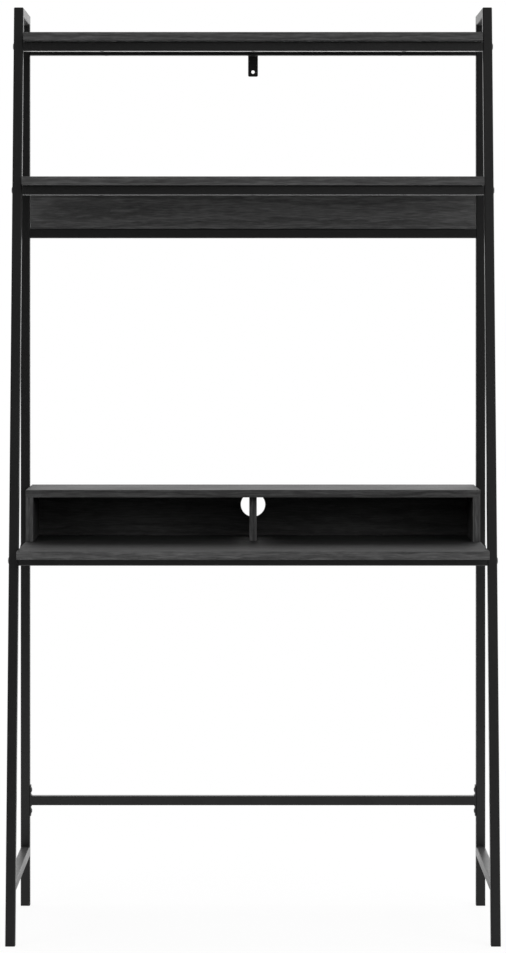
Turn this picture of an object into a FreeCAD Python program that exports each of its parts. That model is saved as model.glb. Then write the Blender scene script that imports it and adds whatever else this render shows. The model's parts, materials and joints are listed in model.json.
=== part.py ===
import FreeCAD, Part
import os
import Sketcher

# Ladder desk: two welded steel side frames with a leaning front leg, rails bolted between them,
# two shelves, an apron board, a desk top and a low open cubby at the back of the desk.
# Millimetres, +Z up, front towards -Y, origin on the floor under the middle of the object.

doc = FreeCAD.newDocument("LadderDesk")
sheet = doc.addObject("Spreadsheet::Sheet", "Sizes")

driving_sizes = [
    ("overall_width", 950, "outer face of one side frame to the outer face of the other"),
    ("overall_depth", 469, "front of the front feet to the back of the rear legs"),
    ("overall_height", 1820, "floor to the top of the side frames"),
    ("leg_setback", 249.5, "how far the front leg leans back over its whole height"),
    ("tube_side", 19, "square tube, outside"),
    ("tube_wall", 1.2, "square tube, wall"),
    ("tube_corner", 2.2, "square tube, outer corner radius"),
    ("slim_rail", 13, "flatter tube of the top rear rail, height"),
    ("foot_flange", 3, "part of a foot glide under the tube"),
    ("foot_plug", 18, "part of a foot glide inside the tube"),
    ("foot_play", 0.15, "gap between a foot plug and the tube"),
    ("foot_edge", 0.9, "rounding of a foot glide's lower edge"),
    ("lower_bar_height", 111, "middle of the low side bar above the floor"),
    ("stretcher_height", 215, "middle of the rear stretcher above the floor"),
    ("plate_length", 63, "stretcher end plate, along the leg"),
    ("plate_thickness", 2, "stretcher end plate"),
    ("plate_corner", 3, "stretcher end plate, corner radius"),
    ("plate_bolt_spacing", 43, "between the two bolts of an end plate"),
    ("desk_height", 757, "top of the desk above the floor"),
    ("middle_shelf_height", 1481, "top of the middle shelf above the floor"),
    ("top_shelf_height", 1767.5, "top of the top shelf above the floor"),
    ("middle_overhang", 49, "middle shelf in front of the front legs"),
    ("top_overhang", 40, "top shelf in front of the front legs"),
    ("board_thickness", 16, "shelves, desk and apron"),
    ("board_play", 2.5, "gap between a board's end and a side frame"),
    ("board_edge", 0.7, "rounding of a board's edges"),
    ("apron_foot_height", 1384, "lower edge of the apron board above the floor"),
    ("apron_play", 0.7, "gap between the apron's end and a rear leg"),
    ("cubby_width", 905, "outside of the cubby"),
    ("cubby_depth", 205, "front of the cubby to the back of the desk"),
    ("cubby_height", 103.5, "top of the cubby above the desk"),
    ("cubby_board", 15, "boards of the cubby"),
    ("divider_setback", 30, "divider behind the front of the cubby"),
    ("cable_hole", 50, "cable hole, diameter"),
    ("cable_hole_height", 63, "middle of the cable hole above the desk"),
    ("tab_width", 20, "wall tab"),
    ("tab_drop", 42.5, "wall tab below the rear rail"),
    ("tab_thickness", 3, "wall tab"),
    ("tab_corner", 3, "wall tab, lower corner radius"),
    ("tab_hole", 7, "wall tab, screw hole diameter"),
    ("tab_hole_rise", 9.5, "screw hole above the tab's lower edge"),
    ("bolt_shank", 6, "frame and stretcher bolts"),
    ("bolt_hole", 6.6, "clear hole for a bolt"),
    ("bolt_socket", 2.31, "hexagon socket, corner radius"),
    ("bolt_socket_depth", 2.4, "hexagon socket"),
    ("frame_bolt_head", 13, "frame bolt head, diameter"),
    ("frame_bolt_crown", 1.5, "frame bolt head, height"),
    ("frame_bolt_rim", 0.6, "straight rim of a frame bolt head"),
    ("frame_bolt_reach", 34, "frame bolt below its head"),
    ("end_nut_length", 16, "threaded block inside a rail's end"),
    ("stretcher_bolt_head", 11, "stretcher bolt head, diameter"),
    ("stretcher_bolt_crown", 2, "stretcher bolt head, height"),
    ("stretcher_bolt_reach", 11, "stretcher bolt below its head"),
    ("weld_nut_radius", 5.77, "weld nut inside a rear leg, corner radius"),
    ("weld_nut_length", 5, "weld nut inside a rear leg"),
    ("screw_shank", 4, "wood screws"),
    ("screw_head", 8, "wood screw head, diameter"),
    ("screw_crown", 2.4, "wood screw head, height"),
    ("screw_recess", 1.6, "drive recess of a wood screw"),
    ("rail_screw_bite", 12, "rail screw inside a board"),
    ("rail_screw_hole", 4.6, "clear hole in a rail's upper wall"),
    ("rail_access_hole", 9.5, "driver hole in a rail's lower wall"),
    ("rail_screw_spacing", 300, "between the three screws of a rail"),
    ("cubby_screw_bite", 22, "cubby screw inside the second board"),
    ("cubby_screw_inset", 40, "cubby screw from a board's end"),
    ("dowel_diameter", 8, "wooden dowels"),
    ("dowel_length", 24, "wooden dowels, half in each board"),
]
for row, (alias, value, note) in enumerate(driving_sizes, start=1):
    sheet.set(f"A{row}", note)
    sheet.set(f"B{row}", str(value))
    sheet.setAlias(f"B{row}", alias)
doc.recompute()

# Planes and levels that many pieces share, as expressions of the driving sizes.
half_width = "(Sizes.overall_width / 2)"
inner_half = "(Sizes.overall_width / 2 - Sizes.tube_side)"
back = "(Sizes.overall_depth / 2)"
rear_leg_front = "(Sizes.overall_depth / 2 - Sizes.tube_side)"
rear_leg_middle = "(Sizes.overall_depth / 2 - Sizes.tube_side / 2)"
board_half = "(Sizes.overall_width / 2 - Sizes.tube_side - Sizes.board_play)"
desk_under = "(Sizes.desk_height - Sizes.board_thickness)"
middle_under = "(Sizes.middle_shelf_height - Sizes.board_thickness)"
top_under = "(Sizes.top_shelf_height - Sizes.board_thickness)"
bar_under_top = "(Sizes.overall_height - Sizes.tube_side)"
lean = "(Sizes.leg_setback / Sizes.overall_height)"
slant = f"sqrt(1 + {lean} ^ 2)"

turns = {
    "+X": FreeCAD.Rotation(FreeCAD.Vector(0, 1, 0), 90),
    "-X": FreeCAD.Rotation(FreeCAD.Vector(0, 1, 0), -90),
    "+Y": FreeCAD.Rotation(FreeCAD.Vector(1, 0, 0), -90),
    "-Y": FreeCAD.Rotation(FreeCAD.Vector(1, 0, 0), 90),
    "+Z": FreeCAD.Rotation(),
    "-Z": FreeCAD.Rotation(FreeCAD.Vector(1, 0, 0), 180),
}
sides = [("left", -1, f"-{half_width}"), ("right", 1, inner_half)]
tolerance = 0.01
nodes = []


def number(expression):
    return float(sheet.evalExpression(expression))


def leg_front(height):
    return f"(({height}) * {lean} - Sizes.overall_depth / 2)"


def leg_back(height):
    return f"({leg_front(height)} + Sizes.tube_side * {slant})"


def leg_middle(height):
    return f"({leg_front(height)} + Sizes.tube_side * {slant} / 2)"


def new_body(name):
    return doc.addObject("PartDesign::Body", name)


def new_node(label):
    body = new_body(label)
    body.Label = label
    nodes.append(body)
    return body


def sketch_on(body, role, offset="0"):
    plane = [feature for feature in body.Origin.OriginFeatures if feature.Role == role][0]
    sketch = body.newObject("Sketcher::SketchObject", f"{body.Name}_sketch")
    sketch.AttachmentSupport = [(plane, "")]
    sketch.MapMode = "FlatFace"
    sketch.setExpression("AttachmentOffset.Base.z", offset)
    return sketch


def add_polygon(sketch, corners):
    """Closed outline whose corners are each held by two expressions."""
    points = [FreeCAD.Vector(number(across), number(along), 0) for across, along in corners]
    count = len(points)
    for index in range(count):
        sketch.addGeometry(Part.LineSegment(points[index], points[(index + 1) % count]))
    for index in range(count):
        sketch.addConstraint(Sketcher.Constraint("Coincident", index, 2, (index + 1) % count, 1))
    for index, (across, along) in enumerate(corners):
        held = sketch.addConstraint(Sketcher.Constraint("DistanceX", index, 1, points[index].x))
        sketch.setExpression(f"Constraints[{held}]", across)
        held = sketch.addConstraint(Sketcher.Constraint("DistanceY", index, 1, points[index].y))
        sketch.setExpression(f"Constraints[{held}]", along)


def rectangle(low_across, low_along, high_across, high_along):
    return [
        (low_across, low_along),
        (high_across, low_along),
        (high_across, high_along),
        (low_across, high_along),
    ]


def pad(body, role, offset, corners, length):
    sketch = sketch_on(body, role, offset)
    add_polygon(sketch, corners)
    feature = body.newObject("PartDesign::Pad", f"{body.Name}_pad")
    feature.Profile = sketch
    feature.setExpression("Length", length)
    doc.recompute()


def pocket(body, role, offset, corners, length):
    """Cut along the sketch plane's normal, the way a pad on the same plane grows."""
    before = body.Tip.Shape.Volume
    sketch = sketch_on(body, role, offset)
    add_polygon(sketch, corners)
    feature = body.newObject("PartDesign::Pocket", f"{body.Name}_pocket")
    feature.Profile = sketch
    feature.Reversed = True
    feature.setExpression("Length", length)
    doc.recompute()
    if feature.Shape.Volume >= before:
        raise RuntimeError(f"{body.Label}: the pocket cut nothing")


def round_edges(body, radius, chosen):
    base = body.Tip
    names = [f"Edge{index}" for index, edge in enumerate(base.Shape.Edges, start=1) if chosen(edge)]
    feature = body.newObject("PartDesign::Fillet", f"{body.Name}_rounding")
    feature.Base = (base, names)
    feature.setExpression("Radius", radius)
    doc.recompute()


def place_feature(feature, place, direction):
    feature.Placement = FreeCAD.Placement(FreeCAD.Vector(), turns[direction])
    for axis, expression in zip("xyz", place):
        feature.setExpression(f"Placement.Base.{axis}", expression)


def drill(body, place, direction, diameter, depth):
    """Round hole from a point, going in the named direction."""
    before = body.Tip.Shape.Volume
    feature = body.newObject("PartDesign::SubtractiveCylinder", f"{body.Name}_hole")
    feature.setExpression("Radius", f"{diameter} / 2")
    feature.setExpression("Height", depth)
    place_feature(feature, place, direction)
    doc.recompute()
    if feature.Shape.Volume >= before:
        raise RuntimeError(f"{body.Label}: a hole cut nothing")


def countersink(body, place, direction):
    """Conical seat for a wood screw's head, widest at the point and narrowing in the named direction."""
    feature = body.newObject("PartDesign::SubtractiveCone", f"{body.Name}_seat")
    feature.setExpression("Radius1", "Sizes.screw_head / 2")
    feature.setExpression("Radius2", "Sizes.screw_shank / 2")
    feature.setExpression("Height", "Sizes.screw_crown")
    place_feature(feature, place, direction)
    doc.recompute()


def every(edge):
    return True


def is_long(edge):
    return edge.Length > 3 * number("Sizes.tube_side")


def tube(label, outline, bore, low, length, bore_inset):
    """Square tube: an outline in the side plane, rounded along the tube and hollowed."""
    body = new_node(label)
    pad(body, "YZ_Plane", low, outline, length)
    round_edges(body, "Sizes.tube_corner", is_long)
    pocket(body, "YZ_Plane", f"{low} + {bore_inset}", bore, f"{length} - 2 * {bore_inset}")
    return body


def frame_tube(label, outline, bore, low):
    return tube(label, outline, bore, low, "Sizes.tube_side", "Sizes.tube_wall")


def rail(label, middle, upper, half_length, height="Sizes.tube_side"):
    """Level tube from side to side, given its middle plane, its upper face and its height."""
    front = f"({middle} - Sizes.tube_side / 2)"
    rear = f"({middle} + Sizes.tube_side / 2)"
    lower = f"({upper} - {height})"
    outline = rectangle(front, lower, rear, upper)
    bore = rectangle(
        f"{front} + Sizes.tube_wall",
        f"{lower} + Sizes.tube_wall",
        f"{rear} - Sizes.tube_wall",
        f"{upper} - Sizes.tube_wall",
    )
    return tube(label, outline, bore, f"-{half_length}", f"2 * {half_length}", "0")


def board(label, low, high):
    """Flat board between two opposite corners, with its edges slightly eased."""
    body = new_node(label)
    pad(body, "XY_Plane", low[2], rectangle(low[0], low[1], high[0], high[1]), f"{high[2]} - {low[2]}")
    round_edges(body, "Sizes.board_edge", every)
    return body


def turned(name, profile):
    """Solid of revolution about Z from a half profile of radius and height."""
    body = new_body(name)
    sketch = sketch_on(body, "XZ_Plane")
    add_polygon(sketch, profile)
    feature = body.newObject("PartDesign::Revolution", f"{name}_turned")
    feature.Profile = sketch
    feature.ReferenceAxis = (sketch, ["V_Axis"])
    feature.Angle = 360
    doc.recompute()
    return body


def cut_socket(body, upper, depth, corner_radius, corner_count):
    feature = body.newObject("PartDesign::SubtractivePrism", f"{body.Name}_socket")
    feature.Polygon = corner_count
    feature.setExpression("Circumradius", corner_radius)
    feature.setExpression("Height", depth)
    place_feature(feature, ("0", "0", f"{upper} - {depth}"), "+Z")
    doc.recompute()


def group(label, pattern, places):
    """Equal loose pieces in one node: copies of a pattern piece, each turned and placed."""
    copies = []
    for index, (place, direction) in enumerate(places, start=1):
        copy = doc.addObject("App::Link", f"{label}_{index}")
        copy.LinkedObject = pattern
        place_feature(copy, place, direction)
        copies.append(copy)
    node = doc.addObject("Part::Compound", label)
    node.Label = label
    node.Links = copies
    nodes.append(node)


# Side frames: a leaning front leg, an upright rear leg, a mitred top bar and a low bar.
frame_top = "Sizes.overall_height"
foot_top = "Sizes.foot_flange"
bore_low = "-Sizes.tube_side"
bore_high = "(Sizes.overall_height + Sizes.tube_side)"
slanted_wall = f"(Sizes.tube_wall * {slant})"
bar_low = "(Sizes.lower_bar_height - Sizes.tube_side / 2)"
bar_high = "(Sizes.lower_bar_height + Sizes.tube_side / 2)"

front_legs = {}
rear_legs = {}
for side, sign, low in sides:
    front_legs[side] = frame_tube(
        f"{side}_front_leg",
        [
            (leg_front(foot_top), foot_top),
            (leg_back(foot_top), foot_top),
            (leg_back(bar_under_top), bar_under_top),
            (leg_front(frame_top), frame_top),
        ],
        [
            (f"{leg_front(bore_low)} + {slanted_wall}", bore_low),
            (f"{leg_back(bore_low)} - {slanted_wall}", bore_low),
            (f"{leg_back(bore_high)} - {slanted_wall}", bore_high),
            (f"{leg_front(bore_high)} + {slanted_wall}", bore_high),
        ],
        low,
    )
    rear_legs[side] = frame_tube(
        f"{side}_rear_leg",
        [
            (rear_leg_front, foot_top),
            (back, foot_top),
            (back, frame_top),
            (rear_leg_front, bar_under_top),
        ],
        rectangle(
            f"{rear_leg_front} + Sizes.tube_wall",
            bore_low,
            f"{back} - Sizes.tube_wall",
            bore_high,
        ),
        low,
    )
    frame_tube(
        f"{side}_top_bar",
        [
            (leg_back(bar_under_top), bar_under_top),
            (rear_leg_front, bar_under_top),
            (back, frame_top),
            (leg_front(frame_top), frame_top),
        ],
        rectangle(
            f"{leg_front(frame_top)} - Sizes.tube_side",
            f"{bar_under_top} + Sizes.tube_wall",
            f"{back} + Sizes.tube_side",
            f"{frame_top} - Sizes.tube_wall",
        ),
        low,
    )
    frame_tube(
        f"{side}_lower_bar",
        [
            (leg_back(bar_low), bar_low),
            (rear_leg_front, bar_low),
            (rear_leg_front, bar_high),
            (leg_back(bar_high), bar_high),
        ],
        rectangle(
            leg_front(bar_low),
            f"{bar_low} + Sizes.tube_wall",
            back,
            f"{bar_high} - Sizes.tube_wall",
        ),
        low,
    )


# Foot glides: a flange under each leg and a plug inside it.
def foot_glide(label, low, front_at, back_at, plug_inset):
    plug_top = "(Sizes.foot_flange + Sizes.foot_plug)"
    side_inset = "(Sizes.tube_wall + Sizes.foot_play)"
    body = new_node(label)
    flange = [
        (front_at("0"), "0"),
        (back_at("0"), "0"),
        (back_at(foot_top), foot_top),
        (front_at(foot_top), foot_top),
    ]
    pad(body, "YZ_Plane", low, flange, "Sizes.tube_side")
    upright = number("Sizes.foot_flange")
    round_edges(
        body,
        "Sizes.tube_corner",
        lambda edge: abs(edge.BoundBox.ZLength - upright) < tolerance,
    )
    round_edges(body, "Sizes.foot_edge", lambda edge: edge.BoundBox.ZMax < tolerance)
    plug = [
        (f"{front_at(foot_top)} + {plug_inset}", foot_top),
        (f"{back_at(foot_top)} - {plug_inset}", foot_top),
        (f"{back_at(plug_top)} - {plug_inset}", plug_top),
        (f"{front_at(plug_top)} + {plug_inset}", plug_top),
    ]
    pad(body, "YZ_Plane", f"{low} + {side_inset}", plug, f"Sizes.tube_side - 2 * {side_inset}")


for side, sign, low in sides:
    foot_glide(
        f"{side}_front_foot",
        low,
        leg_front,
        leg_back,
        f"(Sizes.tube_wall + Sizes.foot_play) * {slant}",
    )
    foot_glide(
        f"{side}_rear_foot",
        low,
        lambda height: rear_leg_front,
        lambda height: back,
        "(Sizes.tube_wall + Sizes.foot_play)",
    )

# Boards on the three levels, and the apron that carries the back of the middle shelf.
top_panel = board(
    "top_shelf_panel",
    (f"-{board_half}", f"{leg_front(top_under)} - Sizes.top_overhang", top_under),
    (board_half, back, "Sizes.top_shelf_height"),
)
middle_panel = board(
    "middle_shelf_panel",
    (f"-{board_half}", f"{leg_front(middle_under)} - Sizes.middle_overhang", middle_under),
    (board_half, back, "Sizes.middle_shelf_height"),
)
desk_panel = board(
    "desk_panel",
    (f"-{board_half}", "-Sizes.overall_depth / 2", desk_under),
    (board_half, back, "Sizes.desk_height"),
)
apron_half = "(Sizes.overall_width / 2 - Sizes.tube_side - Sizes.apron_play)"
apron_front = f"({rear_leg_middle} - Sizes.board_thickness / 2)"
apron_rear = f"({rear_leg_middle} + Sizes.board_thickness / 2)"
apron_board = board(
    "apron_board",
    (f"-{apron_half}", apron_front, "Sizes.apron_foot_height"),
    (apron_half, apron_rear, middle_under),
)

# Cubby: back board with the cable hole, two sides, a set-back divider and a top.
cubby_half = "(Sizes.cubby_width / 2)"
cubby_front = "(Sizes.overall_depth / 2 - Sizes.cubby_depth)"
cubby_back = "(Sizes.overall_depth / 2 - Sizes.cubby_board)"
cubby_top = "(Sizes.desk_height + Sizes.cubby_height)"
cubby_under = "(Sizes.desk_height + Sizes.cubby_height - Sizes.cubby_board)"
cubby_inner = "(Sizes.cubby_width / 2 - Sizes.cubby_board)"
divider_front = f"({cubby_front} + Sizes.divider_setback)"
divider_half = "(Sizes.cubby_board / 2)"

cubby_back_panel = board(
    "cubby_back_panel",
    (f"-{cubby_half}", cubby_back, "Sizes.desk_height"),
    (cubby_half, back, cubby_top),
)
cubby_top_panel = board(
    "cubby_top_panel",
    (f"-{cubby_half}", cubby_front, cubby_under),
    (cubby_half, cubby_back, cubby_top),
)
cubby_left_side = board(
    "cubby_left_side",
    (f"-{cubby_half}", cubby_front, "Sizes.desk_height"),
    (f"-{cubby_inner}", cubby_back, cubby_under),
)
cubby_right_side = board(
    "cubby_right_side",
    (cubby_inner, cubby_front, "Sizes.desk_height"),
    (cubby_half, cubby_back, cubby_under),
)
cubby_divider = board(
    "cubby_divider",
    (f"-{divider_half}", divider_front, "Sizes.desk_height"),
    (divider_half, cubby_back, cubby_under),
)
drill(
    cubby_back_panel,
    ("0", cubby_back, "Sizes.desk_height + Sizes.cable_hole_height"),
    "+Y",
    "Sizes.cable_hole",
    "Sizes.cubby_board",
)

# Rails between the side frames, each with the board that it carries and its screws.
screw_stations = ["-Sizes.rail_screw_spacing", "0", "Sizes.rail_screw_spacing"]
full = "Sizes.tube_side"
slim = "Sizes.slim_rail"
rail_table = [
    ("top_shelf_front_rail", front_legs, top_under, full, top_panel),
    ("top_shelf_rear_rail", rear_legs, top_under, slim, top_panel),
    ("middle_shelf_front_rail", front_legs, middle_under, full, middle_panel),
    ("apron_rail", rear_legs, "Sizes.apron_foot_height", full, apron_board),
    ("desk_front_rail", front_legs, desk_under, full, desk_panel),
    ("desk_rear_rail", rear_legs, desk_under, full, desk_panel),
]
rail_screw_places = []
frame_bolt_places = []
end_nut_places = {full: [], slim: []}
for label, legs, upper, height, carried in rail_table:
    axis_height = f"({upper} - {height} / 2)"
    middle = leg_middle(axis_height) if legs is front_legs else rear_leg_middle
    body = rail(label, middle, upper, inner_half, height)
    for station in screw_stations:
        drill(
            body,
            (station, middle, f"{upper} - 2 * Sizes.tube_wall"),
            "+Z",
            "Sizes.rail_screw_hole",
            "3 * Sizes.tube_wall",
        )
        drill(
            body,
            (station, middle, f"{upper} - {height} - Sizes.tube_wall"),
            "+Z",
            "Sizes.rail_access_hole",
            "3 * Sizes.tube_wall",
        )
        drill(carried, (station, middle, upper), "+Z", "Sizes.screw_shank", "Sizes.rail_screw_bite")
        rail_screw_places.append(((station, middle, f"{upper} - Sizes.tube_wall"), "-Z"))
    for side, sign, low in sides:
        drill(
            legs[side],
            (f"{low} - Sizes.tube_wall", middle, axis_height),
            "+X",
            "Sizes.bolt_hole",
            "Sizes.tube_side + 2 * Sizes.tube_wall",
        )
        outward = "+X" if sign > 0 else "-X"
        frame_bolt_places.append(((f"{sign} * {half_width}", middle, axis_height), outward))
        end_nut_places[height].append(((f"{sign} * {inner_half}", middle, axis_height), outward))

# Rear stretcher with a welded plate at each end, bolted to weld nuts inside the rear legs.
plate_face = f"({inner_half} - Sizes.plate_thickness)"
plate_low = "(Sizes.stretcher_height - Sizes.plate_length / 2)"
plate_high = "(Sizes.stretcher_height + Sizes.plate_length / 2)"
bolt_heights = [
    "(Sizes.stretcher_height - Sizes.plate_bolt_spacing / 2)",
    "(Sizes.stretcher_height + Sizes.plate_bolt_spacing / 2)",
]
rail("rear_stretcher", rear_leg_middle, "(Sizes.stretcher_height + Sizes.tube_side / 2)", plate_face)
stretcher_bolt_places = []
weld_nut_places = []
for side, sign, low in sides:
    plate = new_node(f"{side}_stretcher_plate")
    plate_start = plate_face if sign > 0 else f"-{inner_half}"
    pad(
        plate,
        "YZ_Plane",
        plate_start,
        rectangle(rear_leg_front, plate_low, back, plate_high),
        "Sizes.plate_thickness",
    )
    plate_depth = number("Sizes.plate_thickness")
    round_edges(
        plate,
        "Sizes.plate_corner",
        lambda edge: abs(edge.BoundBox.XLength - plate_depth) < tolerance,
    )
    outward, inward = ("+X", "-X") if sign > 0 else ("-X", "+X")
    for height in bolt_heights:
        drill(
            plate,
            (f"{plate_start} - Sizes.plate_thickness", rear_leg_middle, height),
            "+X",
            "Sizes.bolt_hole",
            "3 * Sizes.plate_thickness",
        )
        drill(
            rear_legs[side],
            (f"{sign} * {inner_half} - 1.5 * Sizes.tube_wall", rear_leg_middle, height),
            "+X",
            "Sizes.bolt_hole",
            "3 * Sizes.tube_wall",
        )
        stretcher_bolt_places.append(((f"{sign} * {plate_face}", rear_leg_middle, height), inward))
        nut_seat = f"{sign} * ({inner_half} + Sizes.tube_wall)"
        weld_nut_places.append(((nut_seat, rear_leg_middle, height), outward))

# Wall tab: a plate welded under the top rear rail, with a hole for a wall screw.
wall_tab = new_node("wall_tab")
tab_top = f"({top_under} - {slim})"
tab_foot = f"({tab_top} - Sizes.tab_drop)"
pad(
    wall_tab,
    "XZ_Plane",
    f"-{back}",
    rectangle("-Sizes.tab_width / 2", tab_foot, "Sizes.tab_width / 2", tab_top),
    "Sizes.tab_thickness",
)
tab_depth = number("Sizes.tab_thickness")
tab_foot_height = number(tab_foot)


def is_tab_corner(edge):
    runs_through = abs(edge.BoundBox.YLength - tab_depth) < tolerance
    return runs_through and edge.BoundBox.ZMax < tab_foot_height + tolerance


round_edges(wall_tab, "Sizes.tab_corner", is_tab_corner)
drill(
    wall_tab,
    ("0", f"{back} - 2 * Sizes.tab_thickness", f"{tab_foot} + Sizes.tab_hole_rise"),
    "+Y",
    "Sizes.tab_hole",
    "3 * Sizes.tab_thickness",
)

# Fixings of the cubby: screws up through the desk, screws through its back, and dowels in its top.
side_middle = "(Sizes.cubby_width / 2 - Sizes.cubby_board / 2)"
rear_station = f"({cubby_back} - Sizes.cubby_screw_inset)"
front_station = f"({cubby_front} + Sizes.cubby_screw_inset)"
divider_station = f"({divider_front} + Sizes.cubby_screw_inset)"
uprights = [
    (cubby_left_side, f"-{side_middle}", [front_station, rear_station]),
    (cubby_right_side, side_middle, [front_station, rear_station]),
    (cubby_divider, "0", [divider_station, rear_station]),
]
half_dowel = "(Sizes.dowel_length / 2)"
base_screw_places = []
cubby_dowel_places = []
for upright, across, stations in uprights:
    for station in stations:
        seat = (across, station, desk_under)
        foot = (across, station, "Sizes.desk_height")
        joint = (across, station, cubby_under)
        drill(desk_panel, seat, "+Z", "Sizes.screw_shank", "Sizes.board_thickness")
        countersink(desk_panel, seat, "+Z")
        drill(upright, foot, "+Z", "Sizes.screw_shank", "Sizes.cubby_screw_bite")
        base_screw_places.append((seat, "-Z"))
        drill(upright, joint, "-Z", "Sizes.dowel_diameter", half_dowel)
        drill(cubby_top_panel, joint, "+Z", "Sizes.dowel_diameter", half_dowel)
        cubby_dowel_places.append((joint, "+Z"))

low_screw = "(Sizes.desk_height + Sizes.cubby_screw_inset / 2)"
high_screw = f"({cubby_under} - Sizes.cubby_screw_inset / 2)"
top_screw = f"({cubby_top} - Sizes.cubby_board / 2)"
back_screw_table = [
    (cubby_left_side, f"-{side_middle}", low_screw),
    (cubby_left_side, f"-{side_middle}", high_screw),
    (cubby_right_side, side_middle, low_screw),
    (cubby_right_side, side_middle, high_screw),
    (cubby_divider, "0", low_screw),
]
back_screw_table += [(cubby_top_panel, station, top_screw) for station in screw_stations]
back_screw_places = []
for target, across, height in back_screw_table:
    drill(target, (across, cubby_back, height), "-Y", "Sizes.screw_shank", "Sizes.cubby_screw_bite")
    drill(cubby_back_panel, (across, back, height), "-Y", "Sizes.screw_shank", "Sizes.cubby_board")
    countersink(cubby_back_panel, (across, back, height), "-Y")
    back_screw_places.append(((across, back, height), "+Y"))

# Dowels between the apron's upper edge and the middle shelf.
apron_dowel_places = []
for across in (screw_stations[0], screw_stations[-1]):
    drill(apron_board, (across, rear_leg_middle, middle_under), "-Z", "Sizes.dowel_diameter", half_dowel)
    drill(middle_panel, (across, rear_leg_middle, middle_under), "+Z", "Sizes.dowel_diameter", half_dowel)
    apron_dowel_places.append(((across, rear_leg_middle, middle_under), "+Z"))


# Pattern pieces for the fixings, each along Z with its head or outer end towards +Z.
def bolt_pattern(name, head, crown, rim, reach):
    body = turned(
        name,
        [
            ("0", f"-{reach}"),
            ("Sizes.bolt_shank / 2", f"-{reach}"),
            ("Sizes.bolt_shank / 2", "0"),
            (f"{head} / 2", "0"),
            (f"{head} / 2", rim),
            (f"{head} / 2 - 2 * ({crown} - {rim})", crown),
            ("0", crown),
        ],
    )
    cut_socket(body, crown, "Sizes.bolt_socket_depth", "Sizes.bolt_socket", 6)
    return body


frame_bolt = bolt_pattern(
    "frame_bolt",
    "Sizes.frame_bolt_head",
    "Sizes.frame_bolt_crown",
    "Sizes.frame_bolt_rim",
    "Sizes.frame_bolt_reach",
)
stretcher_bolt = bolt_pattern(
    "stretcher_bolt",
    "Sizes.stretcher_bolt_head",
    "Sizes.stretcher_bolt_crown",
    "Sizes.frame_bolt_rim",
    "Sizes.stretcher_bolt_reach",
)


def nut_pattern(name, height):
    """Threaded block that fills a rail's end; X of the pattern becomes upright in the rail."""
    body = new_body(name)
    half_height = f"({height} / 2 - Sizes.tube_wall)"
    half_depth = "(Sizes.tube_side / 2 - Sizes.tube_wall)"
    outline = rectangle(f"-{half_height}", f"-{half_depth}", half_height, half_depth)
    pad(body, "XY_Plane", "-Sizes.end_nut_length", outline, "Sizes.end_nut_length")
    below = "-Sizes.end_nut_length - 1"
    drill(body, ("0", "0", below), "+Z", "Sizes.bolt_shank", "Sizes.end_nut_length + 2")
    return body


end_nut = nut_pattern("end_nut", full)
slim_nut = nut_pattern("slim_nut", slim)

weld_nut = new_body("weld_nut")
hexagon = weld_nut.newObject("PartDesign::AdditivePrism", "weld_nut_hexagon")
hexagon.Polygon = 6
hexagon.setExpression("Circumradius", "Sizes.weld_nut_radius")
hexagon.setExpression("Height", "Sizes.weld_nut_length")
doc.recompute()
drill(weld_nut, ("0", "0", "-1"), "+Z", "Sizes.bolt_shank", "Sizes.weld_nut_length + 2")

rail_screw = turned(
    "rail_screw",
    [
        ("0", "-Sizes.tube_wall - Sizes.rail_screw_bite"),
        ("Sizes.screw_shank / 2", "-Sizes.tube_wall - Sizes.rail_screw_bite + Sizes.screw_shank / 2"),
        ("Sizes.screw_shank / 2", "0"),
        ("Sizes.screw_head / 2", "0"),
        ("Sizes.screw_head / 2", "Sizes.screw_crown / 2"),
        ("Sizes.screw_head / 3", "Sizes.screw_crown"),
        ("0", "Sizes.screw_crown"),
    ],
)
cut_socket(rail_screw, "Sizes.screw_crown", "Sizes.screw_recess", "Sizes.screw_recess", 4)


def flat_screw_pattern(name, reach):
    body = turned(
        name,
        [
            ("0", f"-{reach}"),
            ("Sizes.screw_shank / 2", f"-{reach} + Sizes.screw_shank / 2"),
            ("Sizes.screw_shank / 2", "-Sizes.screw_crown"),
            ("Sizes.screw_head / 2", "0"),
            ("0", "0"),
        ],
    )
    cut_socket(body, "0", "Sizes.screw_recess", "Sizes.screw_recess", 4)
    return body


base_screw = flat_screw_pattern("base_screw", "(Sizes.board_thickness + Sizes.cubby_screw_bite)")
back_screw = flat_screw_pattern("back_screw", "(Sizes.cubby_board + Sizes.cubby_screw_bite)")

dowel_chamfer = "(Sizes.dowel_diameter / 8)"
dowel = turned(
    "dowel",
    [
        ("0", f"-{half_dowel}"),
        (f"Sizes.dowel_diameter / 2 - {dowel_chamfer}", f"-{half_dowel}"),
        ("Sizes.dowel_diameter / 2", f"-{half_dowel} + {dowel_chamfer}"),
        ("Sizes.dowel_diameter / 2", f"{half_dowel} - {dowel_chamfer}"),
        (f"Sizes.dowel_diameter / 2 - {dowel_chamfer}", half_dowel),
        ("0", half_dowel),
    ],
)

group("frame_bolts", frame_bolt, frame_bolt_places)
group("rail_end_nuts", end_nut, end_nut_places[full])
group("slim_rail_nuts", slim_nut, end_nut_places[slim])
group("stretcher_bolts", stretcher_bolt, stretcher_bolt_places)
group("leg_weld_nuts", weld_nut, weld_nut_places)
group("rail_screws", rail_screw, rail_screw_places)
group("cubby_base_screws", base_screw, base_screw_places)
group("cubby_back_screws", back_screw, back_screw_places)
group("cubby_dowels", dowel, cubby_dowel_places)
group("apron_dowels", dowel, apron_dowel_places)

doc.recompute()
for thing in doc.Objects:
    if "Invalid" in thing.State or "Error" in thing.State:
        raise RuntimeError(f"{thing.Label} failed: {thing.State}")
for node in nodes:
    if node.Shape.isNull() or not node.Shape.isValid():
        raise RuntimeError(f"{node.Label} has no valid shape")

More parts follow.
